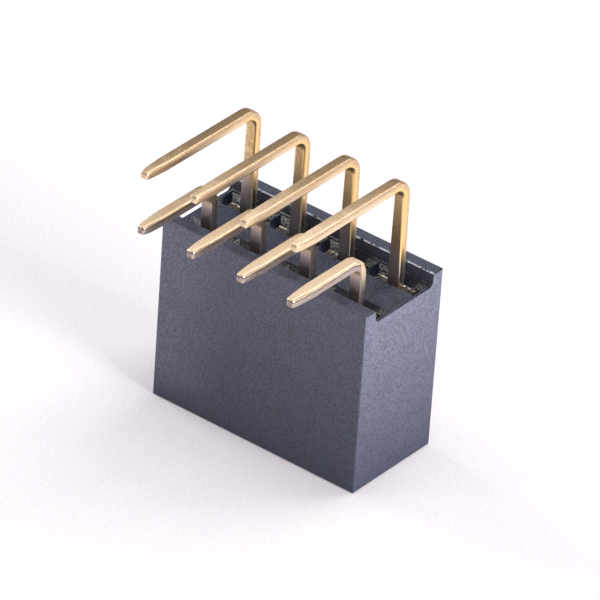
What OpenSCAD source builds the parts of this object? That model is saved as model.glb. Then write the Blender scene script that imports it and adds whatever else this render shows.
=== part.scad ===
// Right-angle female pin header with two rows of socket contacts.
// Millimetres. X runs along the rows, Y across them, and Z from the mating face up to the tails.
// The origin is the centre of the mating face. The tails point along -Y, into the circuit board.

/* [Pin grid] */
// Number of contacts in each row
columns = 4; // [2:1:8]
// Spacing of the contacts along a row
pitch = 2.54; // [2.5:0.02:3]
// Spacing of the two rows at the mating face
row_spacing = 2.54; // [2.5:0.02:2.7]
// Spacing of the two rows of tails on the board
board_row_spacing = 2.54; // [2:0.02:4]

/* [Housing] */
// Depth of the housing across the two rows
housing_depth = 5; // [4.9:0.1:6.4]
// Height of the housing from the mating face to the top of its ridges
housing_height = 8.5; // [7.5:0.1:12]
// Housing beyond the outer half pitch at each end
end_margin = 0.15; // [0.1:0.05:1]
// Rounding of the housing's outer edges
edge_radius = 0.08; // [0.04:0.02:0.2]

/* [Channel along the tail side] */
// Depth of the channel between the two ridges
channel_depth = 0.6; // [0.4:0.05:1]
// Width of each ridge at its top
ridge_width = 0.57; // [0.45:0.02:0.7]
// Broken edge along the inner top of each ridge
ridge_chamfer = 0.05; // [0.02:0.01:0.1]
// Lean of the channel's walls, from top to foot
wall_draft = 0.05; // [0.02:0.01:0.12]
// Width of the sloping foot where a wall meets the floor
foot_width = 0.13; // [0.05:0.01:0.2]
// Height of that foot
foot_height = 0.12; // [0.05:0.01:0.2]

/* [Pin entries] */
// Thickness of the wall between the mating face and the forks
front_wall = 0.95; // [0.6:0.05:1.5]
// Side of the square passage for the mating pin
entry_width = 0.8; // [0.7:0.02:0.9]
// Side of the square mouth at the mating face
entry_mouth = 1.3; // [1:0.02:1.5]
// Depth of the funnel from the mouth to the passage
entry_funnel = 0.35; // [0.2:0.05:0.5]

/* [Contact slots] */
// Free space on each side of the contact's thickness
slot_clearance = 0.02; // [0.01:0.01:0.05]
// Width of the lead-in chamfer round each slot's mouth
slot_chamfer = 0.27; // [0.1:0.01:0.27]

/* [Contact fork] */
// Thickness of the contact strip
stock = 0.42; // [0.36:0.02:0.5]
// Width of the fork across both tines
fork_width = 1.9; // [1.8:0.02:1.94]
// Height of the solid plate between the shoulders and the crotch
plate_height = 1.3; // [1.2:0.05:2]
// Depth of the shoulders below the channel's floor
shoulder_recess = 0.23; // [0.1:0.01:0.4]
// Width of the gap between the tines
crotch_width = 0.74; // [0.68:0.02:0.9]
// Gap between the two contact crests, before a pin spreads them
crest_gap = 0.48; // [0.4:0.02:0.6]
// Radius of each contact crest
crest_radius = 0.45; // [0.3:0.05:0.6]
// Height of the crests above the tips of the tines
crest_height = 0.95; // [0.8:0.05:1.5]
// Gap between the tips, where the pin enters
mouth_gap = 1.04; // [0.9:0.02:1.1]
// Length of the flare from the mouth to the parallel gap
flare_length = 0.45; // [0.3:0.05:0.6]
// Inward lean of each tine's outer edge
tine_taper = 0.18; // [0.05:0.01:0.25]
// Space between the tips and the front wall
tip_clearance = 0.1; // [0.05:0.01:0.3]
// Height of the barbs above the fork's sides
barb_height = 0.03; // [0.02:0.01:0.05]

/* [Tails] */
// Width of the tails
tail_width = 0.54; // [0.4:0.02:0.64]
// Height of the lower row of tails above the housing, to their middle
tail_offset = 1.54; // [1.3:0.02:3]
// Length of the tails beyond the housing's board face
tail_reach = 3.24; // [2.5:0.02:4.5]
// Inner radius of the bend
bend_radius = 0.45; // [0.3:0.05:0.7]
// Length of the tapered point
point_length = 1.2; // [0.8:0.1:1.6]
// Width of the blunt end
point_width = 0.36; // [0.2:0.01:0.4]
// Length of the bevels above and below the point
bevel_length = 0.4; // [0.3:0.05:0.8]
// Thickness of the blunt end
point_thickness = 0.34; // [0.2:0.01:0.36]

/* [Hidden] */
$fn = 48;
// Cutters run this far past the faces that they open
cut = 0.5;
// Barb outline: where the barbs start above the crotch, their rise, their flat crest and their spacing
barb_start = 0.2;
barb_rise = 0.2;
barb_flat = 0.1;
barb_spacing = 0.45;

housing_length = columns * pitch + 2 * end_margin;
floor_z = housing_height - channel_depth;
cavity_width = fork_width + 2 * barb_height;
slot_depth = stock + 2 * slot_clearance;
shoulder_z = floor_z - shoulder_recess;
crotch_z = shoulder_z - plate_height;
tip_z = front_wall + tip_clearance;
tip_y = -housing_depth / 2 - tail_reach;
short_tail_z = housing_height + tail_offset;
long_tail_z = short_tail_z + board_row_spacing;
long_row_y = row_spacing / 2;
short_row_y = -row_spacing / 2;

long_names = [for (c = [1:columns]) str("long_contact_", c)];
short_names = [for (c = [1:columns]) str("short_contact_", c)];

function column_x(column) = (column - (columns + 1) / 2) * pitch;

// Rectangle with round corners, centred on the origin
module rounded_rectangle(size, r) {
    square([size.x - 2 * r, size.y], center = true);
    square([size.x, size.y - 2 * r], center = true);
    for (sx = [-1, 1], sy = [-1, 1])
        translate([sx * (size.x / 2 - r), sy * (size.y / 2 - r)])
            circle(r);
}

// A profile drawn in Y and Z, run along X
module along_x(length) {
    rotate([90, 0, 90])
        linear_extrude(length, center = true)
            children();
}

// A profile drawn in X and Z, run along Y
module along_y(length) {
    rotate([90, 0, 0])
        linear_extrude(length, center = true)
            children();
}

// Block with all its outer edges rounded, standing on the mating face
module housing_block() {
    translate([0, 0, housing_height / 2])
        intersection() {
            along_x(housing_length)
                rounded_rectangle([housing_depth, housing_height], edge_radius);
            along_y(housing_depth)
                rounded_rectangle([housing_length, housing_height], edge_radius);
            linear_extrude(housing_height, center = true)
                rounded_rectangle([housing_length, housing_depth], edge_radius);
        }
}

// Half outline of the channel, from the middle of its floor up and out
function channel_side(top_y, wall_y, foot_y) = [
    [0, floor_z],
    [foot_y - foot_width, floor_z],
    [foot_y, floor_z + foot_height],
    [wall_y, housing_height - ridge_chamfer],
    [top_y, housing_height],
    [top_y, housing_height + cut],
    [0, housing_height + cut]
];

// Channel between the ridges, open at both ends of the housing
module channel() {
    top_y = housing_depth / 2 - ridge_width;
    wall_y = top_y - ridge_chamfer;
    foot_y = wall_y - wall_draft;
    for (side = [0, 1])
        mirror([0, side, 0])
            along_x(housing_length + 2 * cut)
                polygon(channel_side(top_y, wall_y, foot_y));
}

// Straight-sided funnel: low and high are its two rectangles, z apart
module funnel(low, high, z) {
    intersection() {
        along_y(max(low.y, high.y))
            polygon([[-low.x / 2, 0], [low.x / 2, 0], [high.x / 2, z], [-high.x / 2, z]]);
        along_x(max(low.x, high.x))
            polygon([[-low.y / 2, 0], [low.y / 2, 0], [high.y / 2, z], [-high.y / 2, z]]);
    }
}

// Square way in for the pin, from the mating face to just past the fork's crotch
module pin_passage() {
    passage_top = crotch_z + slot_clearance;
    translate([-entry_width / 2, -entry_width / 2, -cut])
        cube([entry_width, entry_width, passage_top + cut]);
    flare = entry_mouth - entry_width;
    outer = entry_width + flare * (entry_funnel + cut) / entry_funnel;
    translate([0, 0, -cut])
        funnel([outer, outer], [entry_width, entry_width], entry_funnel + cut);
}

// Slot that holds the contact, with its lead-in chamfer in the channel's floor
module contact_slot() {
    translate([-cavity_width / 2, -slot_depth / 2, front_wall])
        cube([cavity_width, slot_depth, housing_height - front_wall]);
    mouth_x = cavity_width + 2 * slot_chamfer;
    mouth_y = slot_depth + 2 * slot_chamfer;
    translate([0, 0, floor_z - slot_chamfer])
        funnel([cavity_width, slot_depth], [mouth_x, mouth_y], slot_chamfer);
    translate([-mouth_x / 2, -mouth_y / 2, floor_z])
        cube([mouth_x, mouth_y, foot_height]);
}

module housing() {
    color([0.17, 0.18, 0.22])
        difference() {
            housing_block();
            channel();
            for (c = [1:columns], y = [long_row_y, short_row_y])
                translate([column_x(c), y, 0]) {
                    pin_passage();
                    contact_slot();
                }
        }
}

// Outline of one tine, on the +X side
module tine() {
    polygon([
        [crotch_width / 2, crotch_z],
        [crotch_width / 2, tip_z + flare_length],
        [mouth_gap / 2, tip_z],
        [fork_width / 2 - tine_taper, tip_z],
        [fork_width / 2, crotch_z]
    ]);
    crest_z = tip_z + crest_height;
    intersection() {
        translate([crest_gap / 2 + crest_radius, crest_z])
            circle(crest_radius);
        translate([0, crest_z - crest_radius])
            square([crotch_width / 2 + stock / 2, 2 * crest_radius]);
    }
}

// Outline of two barbs on the +X edge of the plate: sloped to slide in and square to hold
module barbs() {
    side = fork_width / 2;
    for (i = [0, 1]) {
        start = crotch_z + barb_start + i * barb_spacing;
        polygon([
            [side - barb_height, start],
            [side, start],
            [side + barb_height, start + barb_rise],
            [side + barb_height, start + barb_rise + barb_flat],
            [side - barb_height, start + barb_rise + barb_flat]
        ]);
    }
}

// Flat outline of the fork, its plate and the straight leg up to the bend
module fork_outline(leg_top) {
    difference() {
        translate([-fork_width / 2, crotch_z - crotch_width / 2])
            square([fork_width, plate_height + crotch_width / 2]);
        translate([0, crotch_z - crotch_width / 2])
            circle(d = crotch_width);
        translate([-crotch_width / 2, crotch_z - crotch_width])
            square([crotch_width, crotch_width / 2]);
    }
    for (side = [0, 1])
        mirror([side, 0]) {
            tine();
            barbs();
        }
    translate([-tail_width / 2, shoulder_z - tail_width])
        square([tail_width, leg_top - shoulder_z + tail_width]);
}

// Quarter turn of the strip, from the leg to the tail
module bend(centre_y, centre_z) {
    translate([0, centre_y, centre_z])
        rotate([90, 0, 90])
            rotate_extrude(angle = 90)
                translate([bend_radius, -tail_width / 2])
                    square([stock, tail_width]);
}

// Straight run of the tail, tapered on its sides and bevelled above and below at its point
module tail_run(start_y, z) {
    taper_y = tip_y + point_length;
    bevel_y = tip_y + bevel_length;
    intersection() {
        translate([0, 0, z])
            linear_extrude(stock, center = true)
                polygon([
                    [-tail_width / 2, start_y],
                    [-tail_width / 2, taper_y],
                    [-point_width / 2, tip_y],
                    [point_width / 2, tip_y],
                    [tail_width / 2, taper_y],
                    [tail_width / 2, start_y]
                ]);
        along_x(tail_width)
            polygon([
                [start_y, z + stock / 2],
                [bevel_y, z + stock / 2],
                [tip_y, z + point_thickness / 2],
                [tip_y, z - point_thickness / 2],
                [bevel_y, z - stock / 2],
                [start_y, z - stock / 2]
            ]);
    }
}

// One stamped and bent contact, in the slot at x and row_y, with its tail at height tail_z
module contact(x, row_y, tail_z) {
    bend_y = row_y - stock / 2 - bend_radius;
    bend_z = tail_z - stock / 2 - bend_radius;
    color([0.78, 0.63, 0.4])
        translate([x, 0, 0]) {
            translate([0, row_y, 0])
                along_y(stock)
                    fork_outline(bend_z);
            bend(bend_y, bend_z);
            tail_run(bend_y, tail_z);
        }
}

module long_contact(column) {
    contact(column_x(column), long_row_y, long_tail_z);
}

module short_contact(column) {
    contact(column_x(column), short_row_y, short_tail_z);
}

housing();
for (c = [1:columns]) {
    long_contact(c);
    short_contact(c);
}
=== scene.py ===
"""Looks of a right-angle socket header: moulded housing, stamped contacts and a plain studio stage."""

import math

import bmesh
import bpy
from bpy.props import (
    FloatProperty,
    FloatVectorProperty,
    PointerProperty,
)
from mathutils import Matrix, Vector


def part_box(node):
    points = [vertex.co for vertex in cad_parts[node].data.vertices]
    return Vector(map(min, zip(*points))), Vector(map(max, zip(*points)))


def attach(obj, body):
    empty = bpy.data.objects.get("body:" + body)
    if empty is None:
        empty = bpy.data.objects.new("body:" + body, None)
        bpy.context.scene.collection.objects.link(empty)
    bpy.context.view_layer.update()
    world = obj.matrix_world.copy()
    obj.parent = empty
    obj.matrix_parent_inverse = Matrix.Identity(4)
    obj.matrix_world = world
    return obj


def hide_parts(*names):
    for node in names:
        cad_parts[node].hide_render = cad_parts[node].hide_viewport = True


bl_info = {
    "name": "Socket Header Finish",
    "version": (1, 0, 0),
    "blender": (4, 5, 0),
    "location": "3D View > Sidebar > Socket Header",
    "description": "Dresses a right-angle socket header and sets its stage",
    "category": "Object",
}

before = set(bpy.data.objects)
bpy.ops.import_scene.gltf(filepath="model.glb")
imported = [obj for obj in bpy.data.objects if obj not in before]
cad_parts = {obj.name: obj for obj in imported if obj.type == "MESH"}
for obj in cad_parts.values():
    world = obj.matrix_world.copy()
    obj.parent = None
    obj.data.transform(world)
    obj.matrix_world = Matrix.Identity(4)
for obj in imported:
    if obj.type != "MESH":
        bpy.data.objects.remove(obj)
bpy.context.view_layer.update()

MM = 0.001
HOUSING = "housing"
LONG_CONTACTS = sorted(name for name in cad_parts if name.startswith("long_contact_"))
SHORT_CONTACTS = sorted(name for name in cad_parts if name.startswith("short_contact_"))

# Lowest and highest corners of the housing
HOUSING_LOW, HOUSING_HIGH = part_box(HOUSING)
HOUSING_TOP = HOUSING_HIGH.z

# Limits on the meshes: what counts as flat, as sharp, as one point and as lying on a face
FLAT_ANGLE = math.radians(0.5)
SMOOTH_ANGLE = math.radians(32)
HOUSING_SHARP = math.radians(34)
CONTACT_SHARP = math.radians(35)
WELD = 0.0002 * MM
ON_FACE = 0.001 * MM
NEAR_FACE = 0.01 * MM

# Parts of the strip's thickness, counted from the outside of the bend
OUTER_SHARE = 0.35
INNER_SHARE = 1 - OUTER_SHARE

# The channel's floor and walls lie within this depth below the ridges' tops
CHANNEL_REACH = 0.65 * MM

# The plastic: its index of refraction, outside the channel and in it, and the brightness of its grains
PLASTIC_IOR = 1.58
CHANNEL_IOR = 1.5
DARK_GRAIN = 0.4
LIGHT_GRAIN = 1.6

# Order of the materials on the housing and on a contact
TEXTURED, TEXTURED_END, CHANNEL, SMOOTH, PAINTED_HIGHLIGHT = range(5)
ROLLED, SHEARED, CUT_END, GLINT_AND_SHADE = range(4)

# Colours on the contacts: the dark line by the smooth band and the metal down by the housing, both painted
# shade, and the painted glints
BURR_SHADOW = (0.05, 0.04, 0.04, 1)
SUNK_METAL_PAINTED_SHADE = (0.40, 0.36, 0.38, 1)
PAINTED_GLINT = (1.0, 0.93, 0.75, 1)

# Matte finish and painted light on the tails: their rise per metre along X, Y and Z, and the sums where they
# begin and are full
MATTE_AND_PAINTED_LIGHT_SLOPES = (0.053 / MM, -0.11 / MM, -0.134 / MM)
MATTE_AND_PAINTED_LIGHT_BEGINS = -1.85
MATTE_AND_PAINTED_LIGHT_FULL = -0.60

# Point that the lamps face
LAMP_AIM = Vector((0, 0, 5 * MM))


# Settings that a user would change

class HousingFinish(bpy.types.PropertyGroup):
    outer_color: FloatVectorProperty(
        name="Outer Color",
        description="Colour of the textured outer faces",
        subtype="COLOR",
        size=3,
        min=0.0,
        max=1.0,
        default=(0.026, 0.031, 0.068),
    )
    # Painted light: the pale tint that lightens the outer faces towards the top; also the colour of the real
    # dust and nicks
    painted_light_and_speck_color: FloatVectorProperty(
        name="Bloom Color",
        description="Colour of the pale film on the outer faces and of the dust in the channel",
        subtype="COLOR",
        size=3,
        min=0.0,
        max=1.0,
        default=(0.188, 0.188, 0.272),
    )
    # Painted light on the two long sides at their top
    painted_light_amount: FloatProperty(
        name="Bloom Amount",
        description="How far the pale film covers the two long sides at their top",
        subtype="FACTOR",
        min=0.0,
        max=1.0,
        default=0.36,
    )
    # Painted light on the two end faces at their top, stronger than on the long sides
    end_painted_light: FloatProperty(
        name="End Bloom",
        description="How far the pale film covers the two end faces at their top",
        subtype="FACTOR",
        min=0.0,
        max=1.0,
        default=0.80,
    )
    inner_color: FloatVectorProperty(
        name="Channel Color",
        description="Colour of the channel, of the slots and of the tops of the ridges",
        subtype="COLOR",
        size=3,
        min=0.0,
        max=1.0,
        default=(0.034, 0.042, 0.070),
    )
    # Painted highlight: the pale colour of the broken line on the ridges' top inner edges
    painted_highlight_color: FloatVectorProperty(
        name="Rubbed Color",
        description="Colour of the plastic where an edge was rubbed",
        subtype="COLOR",
        size=3,
        min=0.0,
        max=1.0,
        default=(0.56, 0.60, 0.72),
    )
    outer_roughness: FloatProperty(
        name="Outer Roughness",
        description="Roughness of the textured outer faces",
        subtype="FACTOR",
        min=0.0,
        max=1.0,
        default=0.42,
    )
    inner_roughness: FloatProperty(
        name="Channel Roughness",
        description="Roughness of the broken edges and of the slots",
        subtype="FACTOR",
        min=0.0,
        max=1.0,
        default=0.18,
    )
    texture_size: FloatProperty(
        name="Texture Size",
        description="Size of the grains of the mould's spark-eroded texture",
        subtype="DISTANCE",
        unit="LENGTH",
        min=0.00001,
        max=0.0005,
        default=0.00008,
    )
    texture_depth: FloatProperty(
        name="Texture Depth",
        description="Depth of the mould's spark-eroded texture",
        subtype="DISTANCE",
        unit="LENGTH",
        min=0.0,
        max=0.0001,
        default=0.000031,
    )
    mouth_radius: FloatProperty(
        name="Slot Mouth Radius",
        description="Rounding of the edges of each slot's lead-in",
        subtype="DISTANCE",
        unit="LENGTH",
        min=0.0,
        max=0.0001,
        default=0.00003,
    )
    end_radius: FloatProperty(
        name="Channel End Radius",
        description="Rounding of the channel's edges at its two open ends",
        subtype="DISTANCE",
        unit="LENGTH",
        min=0.0,
        max=0.0001,
        default=0.000045,
    )


class ContactFinish(bpy.types.PropertyGroup):
    rolled_color: FloatVectorProperty(
        name="Rolled Face Color",
        description="Colour of the plating on the strip's two rolled faces",
        subtype="COLOR",
        size=3,
        min=0.0,
        max=1.0,
        default=(0.88, 0.60, 0.31),
    )
    # Matte finish and painted light: the tips' paler colour is partly painted light
    matte_and_painted_light_color: FloatVectorProperty(
        name="Matte Color",
        description="Colour of the plating where it is matte, at the tips",
        subtype="COLOR",
        size=3,
        min=0.0,
        max=1.0,
        default=(1.0, 0.79, 0.55),
    )
    tarnish_amount: FloatProperty(
        name="Tarnish Amount",
        description="How strongly the dull patches show",
        subtype="FACTOR",
        min=0.0,
        max=1.0,
        default=0.70,
    )
    tarnish_color: FloatVectorProperty(
        name="Tarnish Color",
        description="Colour of the dull patches on the rolled faces",
        subtype="COLOR",
        size=3,
        min=0.0,
        max=1.0,
        default=(0.42, 0.31, 0.16),
    )
    blush_color: FloatVectorProperty(
        name="Blush Color",
        description="Colour of the pinkish clouds on the rolled faces, and of the legs by the housing",
        subtype="COLOR",
        size=3,
        min=0.0,
        max=1.0,
        default=(0.66, 0.54, 0.50),
    )
    burnish_color: FloatVectorProperty(
        name="Burnished Edge Color",
        description="Colour of the smooth part of the sheared edges",
        subtype="COLOR",
        size=3,
        min=0.0,
        max=1.0,
        default=(0.96, 0.67, 0.29),
    )
    worn_edge_color: FloatVectorProperty(
        name="Worn Edge Color",
        description="Colour of the smooth part of the sheared edges on the tails",
        subtype="COLOR",
        size=3,
        min=0.0,
        max=1.0,
        default=(0.96, 0.75, 0.50),
    )
    fracture_color: FloatVectorProperty(
        name="Fractured Edge Color",
        description="Colour of the rough part of the long contacts' sheared edges",
        subtype="COLOR",
        size=3,
        min=0.0,
        max=1.0,
        default=(0.80, 0.57, 0.37),
    )
    bare_color: FloatVectorProperty(
        name="Bare Edge Color",
        description="Colour of the rough part of the short contacts' sheared edges",
        subtype="COLOR",
        size=3,
        min=0.0,
        max=1.0,
        default=(0.68, 0.56, 0.50),
    )
    alloy_color: FloatVectorProperty(
        name="Alloy Color",
        description="Colour of the bare alloy at the cut ends",
        subtype="COLOR",
        size=3,
        min=0.0,
        max=1.0,
        default=(0.58, 0.45, 0.40),
    )
    long_share: FloatProperty(
        name="Long Burnished Share",
        description="Share of the thickness of the long contacts that the punch left smooth",
        subtype="FACTOR",
        min=0.2,
        max=0.9,
        default=0.62,
    )
    short_share: FloatProperty(
        name="Short Burnished Share",
        description="Share of the thickness of the short contacts that the punch left smooth",
        subtype="FACTOR",
        min=0.1,
        max=0.9,
        default=0.30,
    )
    outer_radius: FloatProperty(
        name="Outer Edge Radius",
        description="Rounding of the edges above the housing, apart from the short contacts' inner ones",
        subtype="DISTANCE",
        unit="LENGTH",
        min=0.00001,
        max=0.0002,
        default=0.00011,
    )
    sharp_radius: FloatProperty(
        name="Sharp Edge Radius",
        description="Rounding of the edges that stayed sharp",
        subtype="DISTANCE",
        unit="LENGTH",
        min=0.000005,
        max=0.0001,
        default=0.000015,
    )
    grain_size: FloatProperty(
        name="Grain Size",
        description="Size of the grains on the rolled faces, which the sheared and cut faces follow",
        subtype="DISTANCE",
        unit="LENGTH",
        min=0.00001,
        max=0.0005,
        default=0.00009,
    )


class StageSettings(bpy.types.PropertyGroup):
    floor_color: FloatVectorProperty(
        name="Floor Color",
        description="Colour of the floor",
        subtype="COLOR",
        size=3,
        min=0.0,
        max=1.0,
        default=(0.80, 0.80, 0.80),
    )
    floor_glow: FloatVectorProperty(
        name="Floor Glow",
        description="Light that the eye and reflections see on the floor besides what falls on it",
        subtype="COLOR",
        size=3,
        min=0.0,
        max=1.0,
        default=(0.13, 0.10, 0.12),
    )
    sky_color: FloatVectorProperty(
        name="Room Color",
        description="Colour of the even light from all round",
        subtype="COLOR",
        size=3,
        min=0.0,
        max=1.0,
        default=(0.90, 0.86, 1.0),
    )
    sky_strength: FloatProperty(
        name="Room Strength",
        description="Strength of the even light from all round",
        min=0.0,
        max=2.0,
        default=0.18,
    )
    top_power: FloatProperty(
        name="Top Softbox",
        description="Power of the softbox overhead, a little behind",
        unit="POWER",
        min=0.0,
        max=5.0,
        default=0.22,
    )
    ceiling_power: FloatProperty(
        name="Ceiling Panel",
        description="Power of the large panel high above",
        unit="POWER",
        min=0.0,
        max=5.0,
        default=0.85,
    )
    back_power: FloatProperty(
        name="Back Panel",
        description="Power of the large panel behind",
        unit="POWER",
        min=0.0,
        max=5.0,
        default=0.235,
    )
    left_power: FloatProperty(
        name="Left Softbox",
        description="Power of the low softbox at the left",
        unit="POWER",
        min=0.0,
        max=5.0,
        default=0.21,
    )
    right_power: FloatProperty(
        name="Right Softbox",
        description="Power of the low softbox at the right",
        unit="POWER",
        min=0.0,
        max=5.0,
        default=0.42,
    )
    glint_power: FloatProperty(
        name="Glint Lamps",
        description="Power of each of the two small lamps that draw the highlights on edges",
        unit="POWER",
        min=0.0,
        max=5.0,
        default=0.05,
    )
    lens: FloatProperty(
        name="Lens",
        description="Focal length of the camera",
        subtype="DISTANCE_CAMERA",
        unit="CAMERA",
        min=50.0,
        max=1000.0,
        default=480.0,
    )


# Shader building blocks

class Shading:
    """A node material in the making, with short calls to add and link its nodes."""

    def __init__(self, name):
        self.material = bpy.data.materials.new(name)
        self.material.use_nodes = True
        self.tree = self.material.node_tree
        self.tree.nodes.clear()

    def add(self, kind, inputs=None, **settings):
        return add_node(self.tree, kind, inputs, **settings)

    def surface(self, shader):
        output = self.tree.nodes.new("ShaderNodeOutputMaterial")
        self.tree.links.new(shader, output.inputs["Surface"])
        return self.material


def add_node(tree, kind, inputs=None, **settings):
    """One node with its settings, and each input set to a value or linked to a socket."""
    node = tree.nodes.new(kind)
    for name, value in settings.items():
        setattr(node, name, value)
    for name, value in (inputs or {}).items():
        socket = node.inputs[name]
        if isinstance(value, bpy.types.NodeSocket):
            tree.links.new(value, socket)
        else:
            socket.default_value = value
    return node


def new_group(name, inputs, outputs):
    """A shader node group, the sockets that bring its inputs and the sockets that take its results."""
    group = bpy.data.node_groups.new(name, "ShaderNodeTree")
    for socket_name, kind, default in inputs:
        socket = group.interface.new_socket(socket_name, in_out="INPUT", socket_type=kind)
        if default is not None:
            socket.default_value = default
    for socket_name, kind in outputs:
        group.interface.new_socket(socket_name, in_out="OUTPUT", socket_type=kind)
    entry = group.nodes.new("NodeGroupInput")
    result = group.nodes.new("NodeGroupOutput")
    return group, entry.outputs, result.inputs


def noise(tree, vector, scale, detail=2.0, roughness=0.5):
    node = add_node(
        tree,
        "ShaderNodeTexNoise",
        {"Vector": vector, "Detail": detail, "Roughness": roughness},
        noise_dimensions="3D",
    )
    if isinstance(scale, bpy.types.NodeSocket):
        tree.links.new(scale, node.inputs["Scale"])
    else:
        node.inputs["Scale"].default_value = scale
    return node.outputs["Fac"]


def remap(tree, value, low, high, to_low=0.0, to_high=1.0):
    node = add_node(
        tree,
        "ShaderNodeMapRange",
        {"Value": value, "From Min": low, "From Max": high, "To Min": to_low, "To Max": to_high},
        interpolation_type="SMOOTHSTEP",
    )
    return node.outputs["Result"]


def math_node(tree, operation, first, second=0.0):
    node = add_node(tree, "ShaderNodeMath", {0: first, 1: second}, operation=operation)
    return node.outputs["Value"]


def product(tree, *factors):
    """All the factors multiplied, in their order."""
    total = factors[0]
    for factor in factors[1:]:
        total = math_node(tree, "MULTIPLY", total, factor)
    return total


def shade_of(color, share):
    """An opaque colour with each channel scaled to its share."""
    return (*(share * channel for channel in color), 1)


def mix_color(tree, factor, first, second):
    node = add_node(tree, "ShaderNodeMix", data_type="RGBA")
    for index, value in ((0, factor), (6, first), (7, second)):
        if isinstance(value, bpy.types.NodeSocket):
            tree.links.new(value, node.inputs[index])
        else:
            node.inputs[index].default_value = value
    return node.outputs[2]


def grain_group():
    """Fine grain: a height for bumps and a mask of light and dark patches."""
    group, given, result = new_group(
        "grain",
        [("Vector", "NodeSocketVector", None), ("Size", "NodeSocketFloat", 0.0001)],
        [("Height", "NodeSocketFloat"), ("Patches", "NodeSocketFloat")],
    )
    scale = math_node(group, "DIVIDE", 1.0, given["Size"])
    coarse = math_node(group, "MULTIPLY", scale, 0.16)
    fine = noise(group, given["Vector"], scale, detail=2.0, roughness=0.6)
    broad = noise(group, given["Vector"], coarse, detail=3.0, roughness=0.6)
    group.links.new(fine, result["Height"])
    sharp = math_node(group, "MULTIPLY", fine, 0.85)
    blend = math_node(group, "ADD", sharp, math_node(group, "MULTIPLY", broad, 0.15))
    group.links.new(remap(group, blend, 0.38, 0.62), result["Patches"])
    return group


def speck_group():
    """Scattered specks, as of dust and small nicks."""
    group, given, result = new_group(
        "specks",
        [
            ("Vector", "NodeSocketVector", None),
            ("Spacing", "NodeSocketFloat", 0.0005),
            ("Amount", "NodeSocketFloat", 0.5),
        ],
        [("Mask", "NodeSocketFloat")],
    )
    scale = math_node(group, "DIVIDE", 1.0, given["Spacing"])
    cells = add_node(group, "ShaderNodeTexVoronoi", {"Vector": given["Vector"], "Scale": scale})
    spots = remap(group, cells.outputs["Distance"], 0.20, 0.08)
    chance = add_node(group, "ShaderNodeSeparateColor", {"Color": cells.outputs["Color"]})
    limit = math_node(group, "LESS_THAN", chance.outputs["Red"], given["Amount"])
    group.links.new(math_node(group, "MULTIPLY", spots, limit), result["Mask"])
    return group


def matte_and_painted_light_group():
    """How matte the tails are and how much painted light pales them: more towards the tips, the lower row and
    the right end.
    """
    group, given, result = new_group(
        "matte_and_painted_light", [("Vector", "NodeSocketVector", None)], [("Matte", "NodeSocketFloat")]
    )
    place = add_node(group, "ShaderNodeSeparateXYZ", {"Vector": given["Vector"]})
    # Painted light and matte finish: one slope in X, Y and Z makes the tails paler and more matte
    along_row = math_node(group, "MULTIPLY", place.outputs["X"], MATTE_AND_PAINTED_LIGHT_SLOPES[0])
    along_tail = math_node(group, "MULTIPLY", place.outputs["Y"], MATTE_AND_PAINTED_LIGHT_SLOPES[1])
    upwards = math_node(group, "MULTIPLY", place.outputs["Z"], MATTE_AND_PAINTED_LIGHT_SLOPES[2])
    total = math_node(group, "ADD", math_node(group, "ADD", along_row, along_tail), upwards)
    clouds = noise(group, given["Vector"], 1 / (0.5 * MM), detail=2.0)
    uneven = math_node(group, "ADD", total, remap(group, clouds, 0.3, 0.7, -0.08, 0.08))
    reach = remap(group, uneven, MATTE_AND_PAINTED_LIGHT_BEGINS, MATTE_AND_PAINTED_LIGHT_FULL)
    on_tail = math_node(
        group,
        "MULTIPLY",
        remap(group, place.outputs["Z"], HOUSING_TOP + 0.8 * MM, HOUSING_TOP + 1.5 * MM),
        remap(group, place.outputs["Y"], 0.9 * MM, 0.0),
    )
    group.links.new(math_node(group, "MULTIPLY", reach, on_tail), result["Matte"])
    return group


# Meshes

def merged_copy(node):
    """A bmesh of the CAD node with its loose triangles joined and its flat faces whole."""
    bm = bmesh.new()
    bm.from_mesh(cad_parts[node].data)
    bmesh.ops.remove_doubles(bm, verts=bm.verts, dist=WELD)
    bmesh.ops.dissolve_limit(bm, angle_limit=FLAT_ANGLE, verts=bm.verts, edges=bm.edges)
    return bm


def round_edges(bm, edges, radius, segments):
    bmesh.ops.bevel(
        bm,
        geom=edges,
        offset=radius,
        offset_type="OFFSET",
        affect="EDGES",
        segments=segments,
        profile=0.5,
        material=-1,
        clamp_overlap=True,
    )


def smooth_shading(bm, angle):
    """Smooth faces that break at edges sharper than the angle."""
    for face in bm.faces:
        face.smooth = True
    for edge in bm.edges:
        edge.smooth = edge.calc_face_angle(math.pi) < angle


def add_piece(name, bm, materials, node):
    """A finished piece at the origin that stands for one CAD node."""
    mesh = bpy.data.meshes.new(name)
    bm.to_mesh(mesh)
    bm.free()
    for material in materials:
        mesh.materials.append(material)
    piece = bpy.data.objects.new(name, mesh)
    bpy.context.scene.collection.objects.link(piece)
    normals = piece.modifiers.new("flat_faces_stay_flat", "WEIGHTED_NORMAL")
    normals.mode = "FACE_AREA"
    normals.weight = 100
    normals.keep_sharp = True
    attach(piece, "root")
    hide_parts(node)
    return piece


# Materials of the housing

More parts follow.
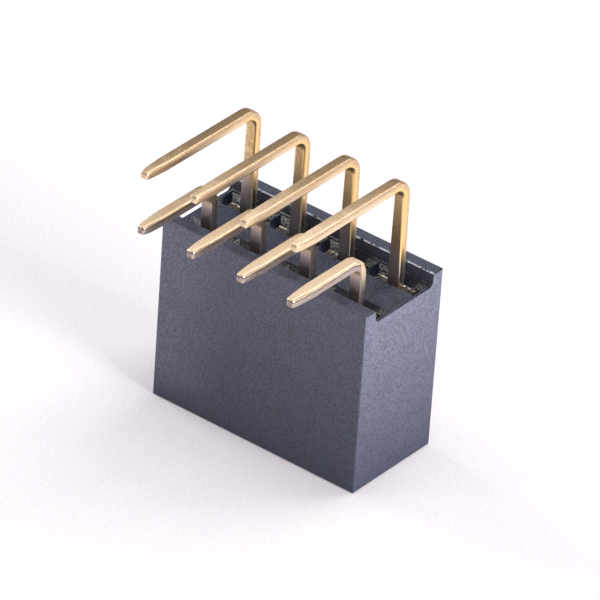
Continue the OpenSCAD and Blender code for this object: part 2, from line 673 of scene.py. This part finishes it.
def textured_plastic(name, finish, groups, painted_light_amount, nick_amount):
    """Outer faces: fine spark-eroded texture under painted light, a pale tint denser towards the top and the
    left.

    The painted light at the left fades out towards the foot. nick_amount above 0 adds nicks by the rear edge.
    """
    shading = Shading(name)
    tree = shading.tree
    place = shading.add("ShaderNodeTexCoord").outputs["Object"]
    grain = shading.add("ShaderNodeGroup", {}, node_tree=groups["grain"])
    tree.links.new(place, grain.inputs["Vector"])
    grain.inputs["Size"].default_value = finish.texture_size
    dark = shade_of(finish.outer_color, DARK_GRAIN)
    light = shade_of(finish.outer_color, LIGHT_GRAIN)
    color = mix_color(tree, grain.outputs["Patches"], dark, light)
    low, high = HOUSING_LOW, HOUSING_HIGH
    axes = shading.add("ShaderNodeSeparateXYZ", {"Vector": place}).outputs
    # Painted light: the pale tint lightens the faces towards the top and, above the foot, towards the left,
    # made uneven by clouds and grains
    upwards = math_node(tree, "MULTIPLY", axes["Z"], painted_light_amount / (high.z - low.z))
    half_length = (high.x - low.x) / 2
    to_left = remap(tree, axes["X"], low.x + 0.8 * half_length, low.x, 0.0, 0.38)
    above_foot = remap(tree, axes["Z"], low.z, low.z + 1.6 * MM)
    left = product(tree, to_left, above_foot)
    clouds = remap(tree, noise(tree, place, 1 / (1.1 * MM), detail=3.0), 0.3, 0.7, 0.95, 1.05)
    grainy = remap(tree, grain.outputs["Patches"], 0.0, 1.0, 0.60, 1.40)
    painted_light = product(tree, math_node(tree, "ADD", upwards, left), clouds, grainy)
    color = mix_color(tree, painted_light, color, (*finish.painted_light_and_speck_color, 1))
    specks = shading.add("ShaderNodeGroup", {}, node_tree=groups["specks"])
    tree.links.new(place, specks.inputs["Vector"])
    specks.inputs["Spacing"].default_value = 0.24 * MM
    specks.inputs["Amount"].default_value = 0.35
    rear = remap(tree, axes["Y"], high.y - 0.8 * MM, high.y - 0.4 * MM)
    amount = math_node(tree, "MULTIPLY", rear, nick_amount)
    nicks = math_node(tree, "MULTIPLY", specks.outputs["Mask"], amount)
    color = mix_color(tree, nicks, color, shade_of(finish.painted_light_and_speck_color, 2.0))
    roughness = remap(
        tree,
        grain.outputs["Patches"],
        0.0,
        1.0,
        finish.outer_roughness - 0.05,
        finish.outer_roughness + 0.05,
    )
    bump = shading.add(
        "ShaderNodeBump",
        {"Strength": 1.0, "Distance": finish.texture_depth, "Height": grain.outputs["Height"]},
    )
    shader = shading.add(
        "ShaderNodeBsdfPrincipled",
        {"Base Color": color, "Roughness": roughness, "Normal": bump.outputs["Normal"]},
    )
    shader.inputs["IOR"].default_value = PLASTIC_IOR
    return shading.surface(shader.outputs["BSDF"])


def channel_plastic(finish, groups):
    """Channel and tops of the ridges: more matte than outside, dusty, with painted light that lightens them
    towards the top.
    """
    shading = Shading("channel_plastic")
    tree = shading.tree
    place = shading.add("ShaderNodeTexCoord").outputs["Object"]
    grain = shading.add("ShaderNodeGroup", {}, node_tree=groups["grain"])
    tree.links.new(place, grain.inputs["Vector"])
    grain.inputs["Size"].default_value = finish.texture_size
    dark = shade_of(finish.inner_color, DARK_GRAIN)
    light = shade_of(finish.inner_color, LIGHT_GRAIN)
    color = mix_color(tree, grain.outputs["Patches"], dark, light)
    specks = shading.add("ShaderNodeGroup", {}, node_tree=groups["specks"])
    tree.links.new(place, specks.inputs["Vector"])
    specks.inputs["Spacing"].default_value = 0.20 * MM
    specks.inputs["Amount"].default_value = 0.2
    dust = math_node(tree, "MULTIPLY", specks.outputs["Mask"], 0.5)
    height = shading.add("ShaderNodeSeparateXYZ", {"Vector": place}).outputs["Z"]
    # Painted light: the walls lighten towards the ridges' tops, and the tops are lighter all over; the specks
    # are real dust
    painted_light = remap(tree, height, HOUSING_TOP - 0.55 * MM, HOUSING_TOP - 0.2 * MM, 0.0, 0.16)
    color = mix_color(tree, math_node(tree, "ADD", dust, painted_light), color, (*finish.painted_light_and_speck_color, 1))
    bump = shading.add(
        "ShaderNodeBump",
        {"Strength": 1.0, "Distance": 2 * finish.texture_depth, "Height": grain.outputs["Height"]},
    )
    shader = shading.add(
        "ShaderNodeBsdfPrincipled",
        {"Base Color": color, "Roughness": finish.outer_roughness + 0.18, "Normal": bump.outputs["Normal"]},
    )
    shader.inputs["IOR"].default_value = CHANNEL_IOR
    return shading.surface(shader.outputs["BSDF"])


def smooth_plastic_painted_shade(finish):
    """Broken edges and slots: glossier, with a ripple that splits up its highlights, and painted shade that
    darkens them.
    """
    shading = Shading("smooth_plastic_painted_shade")
    tree = shading.tree
    place = shading.add("ShaderNodeTexCoord").outputs["Object"]
    ripple = noise(tree, place, 1 / (0.15 * MM), detail=2.0)
    bump = shading.add("ShaderNodeBump", {"Strength": 1.0, "Distance": 0.025 * MM, "Height": ripple})
    shader = shading.add(
        "ShaderNodeBsdfPrincipled",
        {
            # Painted shade: the base is 0.3 of the channel's colour
            "Base Color": shade_of(finish.inner_color, 0.3),
            "Roughness": finish.inner_roughness,
            "Normal": bump.outputs["Normal"],
        },
    )
    shader.inputs["IOR"].default_value = PLASTIC_IOR
    return shading.surface(shader.outputs["BSDF"])


def painted_highlight_plastic(finish):
    """Top inner edges of the ridges: a painted highlight in a broken pale line."""
    shading = Shading("painted_highlight_plastic")
    tree = shading.tree
    place = shading.add("ShaderNodeTexCoord").outputs["Object"]
    # Painted highlight: a broken pale line, rougher where it is pale, over a darker ground
    highlight_noise = noise(tree, place, 1 / (0.22 * MM), detail=4.0, roughness=0.7)
    highlit = remap(tree, highlight_noise, 0.38, 0.52)
    dark = shade_of(finish.inner_color, 0.6)
    color = mix_color(tree, highlit, dark, (*finish.painted_highlight_color, 1))
    roughness = remap(tree, highlit, 0.0, 1.0, finish.inner_roughness, 0.4)
    shader = shading.add("ShaderNodeBsdfPrincipled", {"Base Color": color, "Roughness": roughness})
    shader.inputs["IOR"].default_value = PLASTIC_IOR
    return shading.surface(shader.outputs["BSDF"])


# Materials of the contacts

def rolled_metal(finish, groups):
    """Wide faces of the strip: spotted, pinkish by the housing, darker on the long legs, matte and paler by
    painted light at the tips.
    """
    shading = Shading("rolled_metal")
    tree = shading.tree
    strip = shading.add("ShaderNodeAttribute", attribute_name="strip").outputs["Vector"]
    place = shading.add("ShaderNodeTexCoord").outputs["Object"]
    grain = shading.add("ShaderNodeGroup", {}, node_tree=groups["grain"])
    tree.links.new(strip, grain.inputs["Vector"])
    grain.inputs["Size"].default_value = finish.grain_size
    matte_and_painted_light = shading.add("ShaderNodeGroup", {}, node_tree=groups["matte_and_painted_light"])
    tree.links.new(place, matte_and_painted_light.inputs["Vector"])
    matte = matte_and_painted_light.outputs["Matte"]
    axes = shading.add("ShaderNodeSeparateXYZ", {"Vector": place}).outputs
    height = axes["Z"]
    clouds = remap(tree, noise(tree, strip, 1 / (0.22 * MM), detail=3.0), 0.46, 0.62, 0.0, 0.3)
    by_housing = remap(tree, height, HOUSING_TOP + 1.6 * MM, HOUSING_TOP + 0.4 * MM)
    pink = math_node(tree, "MAXIMUM", clouds, by_housing)
    base = mix_color(tree, pink, (*finish.rolled_color, 1), (*finish.blush_color, 1))
    # Painted light and matte finish: paler towards the tips, the lower row and the right end
    base = mix_color(tree, matte, base, (*finish.matte_and_painted_light_color, 1))
    # The long legs' wide faces darken to the colour of the dark spots between foot and bend, more towards the
    # right
    on_long_leg = math_node(tree, "GREATER_THAN", axes["Y"], 0.9 * MM)
    to_right = remap(tree, axes["X"], -3.2 * MM, 0.0, 0.0, 0.6)
    below_bend = remap(tree, height, HOUSING_TOP + 3.8 * MM, HOUSING_TOP + 3.5 * MM)
    above_foot = remap(tree, height, HOUSING_TOP + 0.7 * MM, HOUSING_TOP + 1.9 * MM)
    darker_long_legs = product(tree, on_long_leg, to_right, below_bend, above_foot)
    base = mix_color(tree, darker_long_legs, base, (*finish.tarnish_color, 1))
    patches = grain.outputs["Patches"]
    kept = math_node(tree, "MAXIMUM", matte, by_housing)
    shown = remap(tree, kept, 0.0, 1.0, finish.tarnish_amount, 0.2 * finish.tarnish_amount)
    spots = math_node(tree, "MULTIPLY", math_node(tree, "SUBTRACT", 1.0, patches), shown)
    color = mix_color(tree, spots, base, (*finish.tarnish_color, 1))
    smooth = remap(tree, patches, 0.0, 1.0, 0.44, 0.32)
    roughness = math_node(tree, "ADD", smooth, math_node(tree, "MULTIPLY", matte, 0.2))
    metallic = remap(tree, matte, 0.0, 1.0, 1.0, 0.25)
    bump = shading.add(
        "ShaderNodeBump", {"Strength": 1.0, "Distance": 0.013 * MM, "Height": grain.outputs["Height"]}
    )
    shader = shading.add(
        "ShaderNodeBsdfPrincipled",
        {"Base Color": color, "Metallic": metallic, "Roughness": roughness, "Normal": bump.outputs["Normal"]},
    )
    return shading.surface(shader.outputs["BSDF"])


def sheared_metal(name, finish, groups, punch_outside):
    """Cut edges of the strip: smooth where the punch slid, rough where the metal broke.

    punch_outside says that the punch came from the outside of the bend. A dark line of painted
    shade then borders the smooth band.
    """
    shading = Shading(name)
    tree = shading.tree
    strip = shading.add("ShaderNodeAttribute", attribute_name="strip").outputs["Vector"]
    place = shading.add("ShaderNodeTexCoord").outputs["Object"]
    depth = shading.add("ShaderNodeAttribute", attribute_name="depth").outputs["Fac"]
    axes = shading.add("ShaderNodeSeparateXYZ", {"Vector": place}).outputs
    waver = remap(tree, noise(tree, strip, 1 / (0.25 * MM), detail=2.0), 0.3, 0.7, -0.03, 0.03)
    if punch_outside:
        share, fade, rough_color = finish.short_share, 0.04, finish.bare_color
        wavy = math_node(tree, "ADD", depth, waver)
    else:
        share, fade, rough_color = finish.long_share, 0.28, finish.fracture_color
        wavy = math_node(tree, "SUBTRACT", math_node(tree, "ADD", 1.0, waver), depth)
    fracture = remap(tree, wavy, share - fade, share + fade)
    grain = shading.add("ShaderNodeGroup", {}, node_tree=groups["grain"])
    tree.links.new(strip, grain.inputs["Vector"])
    grain.inputs["Size"].default_value = 0.6 * finish.grain_size
    rough = mix_color(
        tree, grain.outputs["Patches"], shade_of(rough_color, 0.7), (*rough_color, 1)
    )
    on_tail = remap(tree, axes["Y"], 0.9 * MM, -0.9 * MM)
    smooth = mix_color(tree, on_tail, (*finish.burnish_color, 1), (*finish.worn_edge_color, 1))
    if punch_outside:
        # Painted shade: a dark line along the crease below the smooth band
        below_band = remap(tree, wavy, share + 4.5 * fade, share + 1.5 * fade)
        painted_crease_shade = math_node(tree, "MULTIPLY", fracture, below_band)
        rough = mix_color(tree, painted_crease_shade, rough, BURR_SHADOW)
    color = mix_color(tree, fracture, smooth, rough)
    # Painted shade: the edges grey and darken towards the housing and down inside it
    painted_shade_sunk = remap(tree, axes["Z"], HOUSING_TOP + 0.8 * MM, HOUSING_TOP - 0.2 * MM, 0.0, 0.8)
    color = mix_color(tree, painted_shade_sunk, color, SUNK_METAL_PAINTED_SHADE)
    roughness = remap(tree, fracture, 0.0, 1.0, 0.28, 0.40)
    height = math_node(tree, "MULTIPLY", grain.outputs["Height"], fracture)
    bump = shading.add("ShaderNodeBump", {"Strength": 1.0, "Distance": 0.008 * MM, "Height": height})
    shader = shading.add(
        "ShaderNodeBsdfPrincipled",
        {"Base Color": color, "Metallic": 1.0, "Roughness": roughness, "Normal": bump.outputs["Normal"]},
    )
    return shading.surface(shader.outputs["BSDF"])


def glint_and_shade_metal(finish):
    """Upward faces inside the housing, of which the shoulders show: painted shade, dented, with painted
    glints in broken strokes.
    """
    shading = Shading("glint_and_shade_metal")
    tree = shading.tree
    strip = shading.add("ShaderNodeAttribute", attribute_name="strip").outputs["Vector"]
    depth = shading.add("ShaderNodeAttribute", attribute_name="depth").outputs["Fac"]
    # Painted glints in a band near the edges, broken by noise, over painted shade
    broken = remap(tree, noise(tree, strip, 1 / (0.14 * MM), detail=4.0, roughness=0.65), 0.44, 0.56)
    near = math_node(tree, "MULTIPLY", remap(tree, depth, 0.08, 0.18), remap(tree, depth, 0.50, 0.38))
    painted_glint_mask = math_node(tree, "MULTIPLY", near, broken)
    dark = shade_of(finish.blush_color, 0.2)
    color = mix_color(tree, painted_glint_mask, dark, PAINTED_GLINT)
    dents = noise(tree, strip, 1 / (0.10 * MM), detail=2.0)
    bump = shading.add("ShaderNodeBump", {"Strength": 1.0, "Distance": 0.10 * MM, "Height": dents})
    metallic = remap(tree, painted_glint_mask, 0.0, 1.0, 1.0, 0.5)
    roughness = remap(tree, painted_glint_mask, 0.0, 1.0, 0.4, 0.25)
    shader = shading.add(
        "ShaderNodeBsdfPrincipled",
        {"Base Color": color, "Metallic": metallic, "Roughness": roughness, "Normal": bump.outputs["Normal"]},
    )
    return shading.surface(shader.outputs["BSDF"])


def cut_metal(finish, groups):
    """Blunt ends of the short contacts: the bare alloy, where they were cut from their carrier."""
    shading = Shading("cut_metal")
    tree = shading.tree
    place = shading.add("ShaderNodeTexCoord").outputs["Object"]
    grain = shading.add("ShaderNodeGroup", {}, node_tree=groups["grain"])
    tree.links.new(place, grain.inputs["Vector"])
    grain.inputs["Size"].default_value = finish.grain_size
    dark = shade_of(finish.alloy_color, 0.4)
    color = mix_color(tree, grain.outputs["Patches"], dark, (*finish.alloy_color, 1))
    bump = shading.add(
        "ShaderNodeBump", {"Strength": 1.0, "Distance": 0.01 * MM, "Height": grain.outputs["Height"]}
    )
    shader = shading.add(
        "ShaderNodeBsdfPrincipled",
        {"Base Color": color, "Metallic": 1.0, "Roughness": 0.5, "Normal": bump.outputs["Normal"]},
    )
    return shading.surface(shader.outputs["BSDF"])


# The strip of a contact, followed round its bend

class Strip:
    """Where a point of a bent contact lies in its flat strip.

    The leg's outer face is the plane y = back, the tail's is z = top, and a quarter turn joins them.
    """

    def __init__(self, bm):
        low, high = bounds_of(bm)
        self.back = high.y
        self.top = high.z
        self.tip = low.y
        self.foot = low.z
        fork = [v.co for v in bm.verts if v.co.z < HOUSING_TOP]
        on_back = [v.co.z for v in bm.verts if v.co.y > self.back - ON_FACE]
        self.stock = self.back - min(point.y for point in fork)
        self.center_z = max(on_back)
        self.bend_outer = self.top - self.center_z
        self.bend_inner = self.bend_outer - self.stock
        self.center_y = self.back - self.bend_outer

    def depth(self, point):
        """0 at the outer face of the bend and 1 at the inner face."""
        if point.z <= self.center_z:
            distance = self.back - point.y
        elif point.y <= self.center_y:
            distance = self.top - point.z
        else:
            distance = self.bend_outer - math.hypot(point.y - self.center_y, point.z - self.center_z)
        return distance / self.stock

    def along(self, point):
        """Length along the middle of the strip from the foot of the fork."""
        if point.z <= self.center_z:
            return point.z - self.foot
        middle = self.bend_inner + self.stock / 2
        leg = self.center_z - self.foot
        if point.y <= self.center_y:
            return leg + middle * math.pi / 2 + self.center_y - point.y
        return leg + middle * math.atan2(point.z - self.center_z, point.y - self.center_y)

    def thickness_direction(self, point):
        if point.z <= self.center_z:
            return Vector((0, 1, 0))
        if point.y <= self.center_y:
            return Vector((0, 0, 1))
        return Vector((0, point.y - self.center_y, point.z - self.center_z)).normalized()


def bounds_of(bm):
    low = Vector(tuple(min(v.co[i] for v in bm.verts) for i in range(3)))
    high = Vector(tuple(max(v.co[i] for v in bm.verts) for i in range(3)))
    return low, high


def edges_of(bm, strip, chosen):
    """Sharp edges whose two depths in the strip's thickness satisfy the test."""
    found = []
    for edge in bm.edges:
        if edge.calc_face_angle(0) > CONTACT_SHARP:
            depths = sorted(strip.depth(v.co) for v in edge.verts)
            if chosen(edge, *depths):
                found.append(edge)
    return found


def dress_contact(node, finish, materials, punch_outside):
    """One stamped contact with rounded edges and its flat-strip coordinates."""
    bm = merged_copy(node)
    strip = Strip(bm)

    def is_free(edge):
        return max(v.co.z for v in edge.verts) > HOUSING_TOP

    def is_end_corner(edge, near, far):
        at_tip = all(v.co.y < strip.tip + NEAR_FACE for v in edge.verts)
        return near < OUTER_SHARE and far > INNER_SHARE and at_tip

    def is_outer(edge, near, far):
        return far < OUTER_SHARE and is_free(edge)

    def is_inner(edge, near, far):
        return near > INNER_SHARE and is_free(edge)

    def is_buried(edge, near, far):
        return (far < OUTER_SHARE or near > INNER_SHARE) and not is_free(edge)

    rounded = edges_of(bm, strip, is_end_corner) + edges_of(bm, strip, is_outer)
    if not punch_outside:
        rounded += edges_of(bm, strip, is_inner)
    round_edges(bm, rounded, finish.outer_radius, 4)
    if punch_outside:
        round_edges(bm, edges_of(bm, strip, is_inner), finish.sharp_radius, 2)
    round_edges(bm, edges_of(bm, strip, is_buried), finish.sharp_radius, 2)
    smooth_shading(bm, SMOOTH_ANGLE)
    strip_layer = bm.verts.layers.float_vector.new("strip")
    depth_layer = bm.verts.layers.float.new("depth")
    for vert in bm.verts:
        depth = strip.depth(vert.co)
        vert[strip_layer] = Vector((vert.co.x, strip.along(vert.co), depth * strip.stock))
        vert[depth_layer] = depth
    for face in bm.faces:
        center = face.calc_center_median()
        if abs(face.normal.dot(strip.thickness_direction(center))) > 0.8:
            face.material_index = ROLLED
        elif center.y < strip.tip + 2 * NEAR_FACE:
            face.material_index = CUT_END if punch_outside else ROLLED
        elif face.normal.z > 0.8 and center.z < HOUSING_TOP:
            # Upward faces inside the housing get painted shade and painted glints
            face.material_index = GLINT_AND_SHADE
        else:
            face.material_index = SHEARED
    return add_piece("plated_" + node, bm, materials, node)


# Operators

class HEADER_OT_housing(bpy.types.Operator):
    """Dress the moulded housing"""
    bl_idname = "header.housing"
    bl_label = "Housing"

    def execute(self, context):
        finish = context.scene.header_housing
        groups = shared_groups()
        bm = merged_copy(HOUSING)
        mouth_edges = [edge for edge in bm.edges if self.is_slot_mouth(edge)]
        round_edges(bm, mouth_edges, finish.mouth_radius, 2)
        end_edges = [edge for edge in bm.edges if self.is_channel_end(edge)]
        round_edges(bm, end_edges, finish.end_radius, 3)
        smooth_shading(bm, SMOOTH_ANGLE)
        for face in bm.faces:
            face.material_index = self.finish_of(face)
        materials = [
            # The two outer materials differ in their painted light and in the nicks on the ends
            textured_plastic("textured_plastic", finish, groups, finish.painted_light_amount, 0.0),
            textured_plastic("textured_plastic_ends", finish, groups, finish.end_painted_light, 0.6),
            channel_plastic(finish, groups),
            smooth_plastic_painted_shade(finish),
            painted_highlight_plastic(finish),
        ]
        add_piece("moulded_housing", bm, materials, HOUSING)
        return {"FINISHED"}

    def finish_of(self, face):
        """Which of the housing's materials a face gets."""
        low, high = HOUSING_LOW, HOUSING_HIGH
        center = face.calc_center_median()
        end = min(center.x - low.x, high.x - center.x)
        around = min(center.y - low.y, high.y - center.y, center.z - low.z)
        upper = center.z > high.z - CHANNEL_REACH
        slanting = 0.2 < face.normal.z < 0.95
        # The channel's rounded end edges get the painted shade of the slots
        if upper and end < 0.06 * MM and abs(face.normal.x) < 0.98:
            return SMOOTH
        if end < NEAR_FACE:
            return TEXTURED_END
        if around < 0.05 * MM:
            return TEXTURED
        if center.z > high.z - NEAR_FACE:
            return CHANNEL
        # Top inner edges of the ridges: painted highlight
        if center.z > high.z - 0.2 * MM and slanting:
            return PAINTED_HIGHLIGHT
        # Slots and slanting faces below the top get painted shade
        if slanting or not upper:
            return SMOOTH
        return CHANNEL

    def is_channel_end(self, edge):
        """Whether the edge belongs to the channel's outline in one of its open ends."""
        low, high = HOUSING_LOW, HOUSING_HIGH
        if edge.calc_face_angle(0) < HOUSING_SHARP:
            return False
        for vert in edge.verts:
            point = vert.co
            if min(point.x - low.x, high.x - point.x) > ON_FACE or point.z < high.z - CHANNEL_REACH:
                return False
            if min(point.y - low.y, high.y - point.y) < 0.3 * MM:
                return False
        return True

    def is_slot_mouth(self, edge):
        """Whether the edge belongs to the chamfered mouth of a slot, in the channel's floor."""
        high = HOUSING_HIGH
        if edge.calc_face_angle(0) < HOUSING_SHARP:
            return False
        for vert in edge.verts:
            point = vert.co
            if not 0.75 * high.z < point.z < high.z - 0.55 * MM:
                return False
            if abs(point.x) > high.x - 0.2 * MM or abs(point.y) > 1.6 * MM:
                return False
        return True


class HEADER_OT_contacts(bpy.types.Operator):
    """Dress the stamped contacts"""
    bl_idname = "header.contacts"
    bl_label = "Contacts"

    def execute(self, context):
        finish = context.scene.header_contacts
        groups = shared_groups()
        rolled = rolled_metal(finish, groups)
        cut_end = cut_metal(finish, groups)
        scraped = glint_and_shade_metal(finish)
        long_edge = sheared_metal("sheared_metal_long", finish, groups, punch_outside=False)
        short_edge = sheared_metal("sheared_metal_short", finish, groups, punch_outside=True)
        for node in LONG_CONTACTS:
            dress_contact(node, finish, [rolled, long_edge, cut_end, scraped], punch_outside=False)
        for node in SHORT_CONTACTS:
            dress_contact(node, finish, [rolled, short_edge, cut_end, scraped], punch_outside=True)
        return {"FINISHED"}


def shared_groups():
    """The node groups that the materials share, each built once."""
    made = {}
    for name, build in (
        ("grain", grain_group),
        ("specks", speck_group),
        ("matte_and_painted_light", matte_and_painted_light_group),
    ):
        made[name] = bpy.data.node_groups.get(name) or build()
    return made


class HEADER_OT_stage(bpy.types.Operator):
    """Set the floor, the lights and the camera"""
    bl_idname = "header.stage"
    bl_label = "Stage"

    def execute(self, context):
        stage = context.scene.header_stage
        self.add_floor(stage)
        self.add_world(stage)
        self.add_lamp("softbox_top", (0.034, 0.118, 0.25), 0.14, stage.top_power)
        self.add_lamp("panel_ceiling", (0.0, 0.0, 0.6), 0.40, stage.ceiling_power)
        self.add_lamp("panel_back", (0.0, 0.4, 0.3), 0.30, stage.back_power)
        self.add_lamp("softbox_left", (-0.2, 0.0, 0.08), 0.10, stage.left_power)
        self.add_lamp("softbox_right", (0.2, -0.02, 0.06), 0.08, stage.right_power)
        self.add_lamp("glint_left", (-0.125, -0.133, 0.165), 0.06, stage.glint_power)
        self.add_lamp("glint_corner", (0.14, 0.168, 0.11), 0.06, stage.glint_power)
        self.add_camera(context, stage)
        context.scene.view_settings.view_transform = "Standard"
        return {"FINISHED"}

    def add_floor(self, stage):
        bm = bmesh.new()
        just_below = Matrix.Translation((0, 0, -0.005 * MM))
        bmesh.ops.create_circle(bm, cap_ends=True, segments=96, radius=0.6, matrix=just_below)
        mesh = bpy.data.meshes.new("floor")
        bm.to_mesh(mesh)
        bm.free()
        floor = bpy.data.objects.new("floor", mesh)
        bpy.context.scene.collection.objects.link(floor)
        shading = Shading("floor_paper")
        tree = shading.tree
        place = shading.add("ShaderNodeTexCoord").outputs["Object"]
        tooth = remap(tree, noise(tree, place, 1 / (0.12 * MM), detail=2.0), 0.35, 0.65)
        hollows = shade_of(stage.floor_color, 0.96)
        crests = shade_of(stage.floor_color, 1.04)
        diffuse = shading.add("ShaderNodeBsdfDiffuse", {"Color": mix_color(tree, tooth, hollows, crests)})
        path = shading.add("ShaderNodeLightPath")
        seen = math_node(tree, "MAXIMUM", path.outputs["Is Camera Ray"], path.outputs["Is Glossy Ray"])
        seen = math_node(tree, "MAXIMUM", seen, path.outputs["Is Transmission Ray"])
        glow = shading.add("ShaderNodeEmission", {"Color": (*stage.floor_glow, 1), "Strength": seen})
        both = shading.add("ShaderNodeAddShader", {0: diffuse.outputs[0], 1: glow.outputs[0]})
        mesh.materials.append(shading.surface(both.outputs[0]))

    def add_world(self, stage):
        world = bpy.data.worlds.new("studio")
        bpy.context.scene.world = world
        world.use_nodes = True
        tree = world.node_tree
        tree.nodes.clear()
        room = add_node(
            tree, "ShaderNodeBackground", {"Color": (*stage.sky_color, 1), "Strength": stage.sky_strength}
        )
        white = add_node(tree, "ShaderNodeBackground", {"Color": (1, 1, 1, 1), "Strength": 1.0})
        path = add_node(tree, "ShaderNodeLightPath")
        seen = add_node(
            tree,
            "ShaderNodeMixShader",
            {0: path.outputs["Is Camera Ray"], 1: room.outputs[0], 2: white.outputs[0]},
        )
        output = tree.nodes.new("ShaderNodeOutputWorld")
        tree.links.new(seen.outputs[0], output.inputs["Surface"])

    def add_lamp(self, name, place, size, power):
        lamp = bpy.data.lights.new(name, "AREA")
        lamp.shape = "SQUARE"
        lamp.size = size
        lamp.energy = power
        obj = bpy.data.objects.new(name, lamp)
        bpy.context.scene.collection.objects.link(obj)
        obj.location = place
        aim = LAMP_AIM - Vector(place)
        obj.rotation_euler = aim.to_track_quat("-Z", "Y").to_euler()
        obj.visible_camera = False

    def add_camera(self, context, stage):
        azimuth = math.radians(36.588)
        elevation = math.radians(32.98)
        roll = math.radians(4.06)
        distance = 322.603 * MM
        target = Vector((-0.211, 0.373, 5.487)) * MM
        back = Vector((
            math.sin(azimuth) * math.cos(elevation),
            -math.cos(azimuth) * math.cos(elevation),
            math.sin(elevation),
        ))
        right = Vector((math.cos(azimuth), math.sin(azimuth), 0))
        up = back.cross(right)
        camera_right = right * math.cos(roll) + up * math.sin(roll)
        camera_up = up * math.cos(roll) - right * math.sin(roll)
        data = bpy.data.cameras.new("camera")
        data.lens = stage.lens
        data.sensor_width = 36.0
        data.clip_start = 0.01
        data.clip_end = 10.0
        camera = bpy.data.objects.new("camera", data)
        context.scene.collection.objects.link(camera)
        turn = Matrix((camera_right, camera_up, back)).transposed().to_4x4()
        camera.matrix_world = Matrix.Translation(target + back * distance) @ turn
        context.scene.camera = camera


class HEADER_PT_panel(bpy.types.Panel):
    """Settings and steps in the 3D view's sidebar"""
    bl_idname = "HEADER_PT_panel"
    bl_label = "Socket Header"
    bl_space_type = "VIEW_3D"
    bl_region_type = "UI"
    bl_category = "Socket Header"

    def draw(self, context):
        layout = self.layout
        for name in ("header_housing", "header_contacts", "header_stage"):
            settings = getattr(context.scene, name)
            column = layout.column(align=True)
            for key in settings.__annotations__:
                column.prop(settings, key)
        layout.operator("header.housing")
        layout.operator("header.contacts")
        layout.operator("header.stage")


CLASSES = (
    HousingFinish,
    ContactFinish,
    StageSettings,
    HEADER_OT_housing,
    HEADER_OT_contacts,
    HEADER_OT_stage,
    HEADER_PT_panel,
)


def register():
    for cls in CLASSES:
        bpy.utils.register_class(cls)
    bpy.types.Scene.header_housing = PointerProperty(type=HousingFinish)
    bpy.types.Scene.header_contacts = PointerProperty(type=ContactFinish)
    bpy.types.Scene.header_stage = PointerProperty(type=StageSettings)


def unregister():
    del bpy.types.Scene.header_stage
    del bpy.types.Scene.header_contacts
    del bpy.types.Scene.header_housing
    for cls in reversed(CLASSES):
        bpy.utils.unregister_class(cls)


def main():
    register()
    bpy.ops.header.stage()
    bpy.ops.header.housing()
    bpy.ops.header.contacts()


if __name__ == "__main__":
    main()
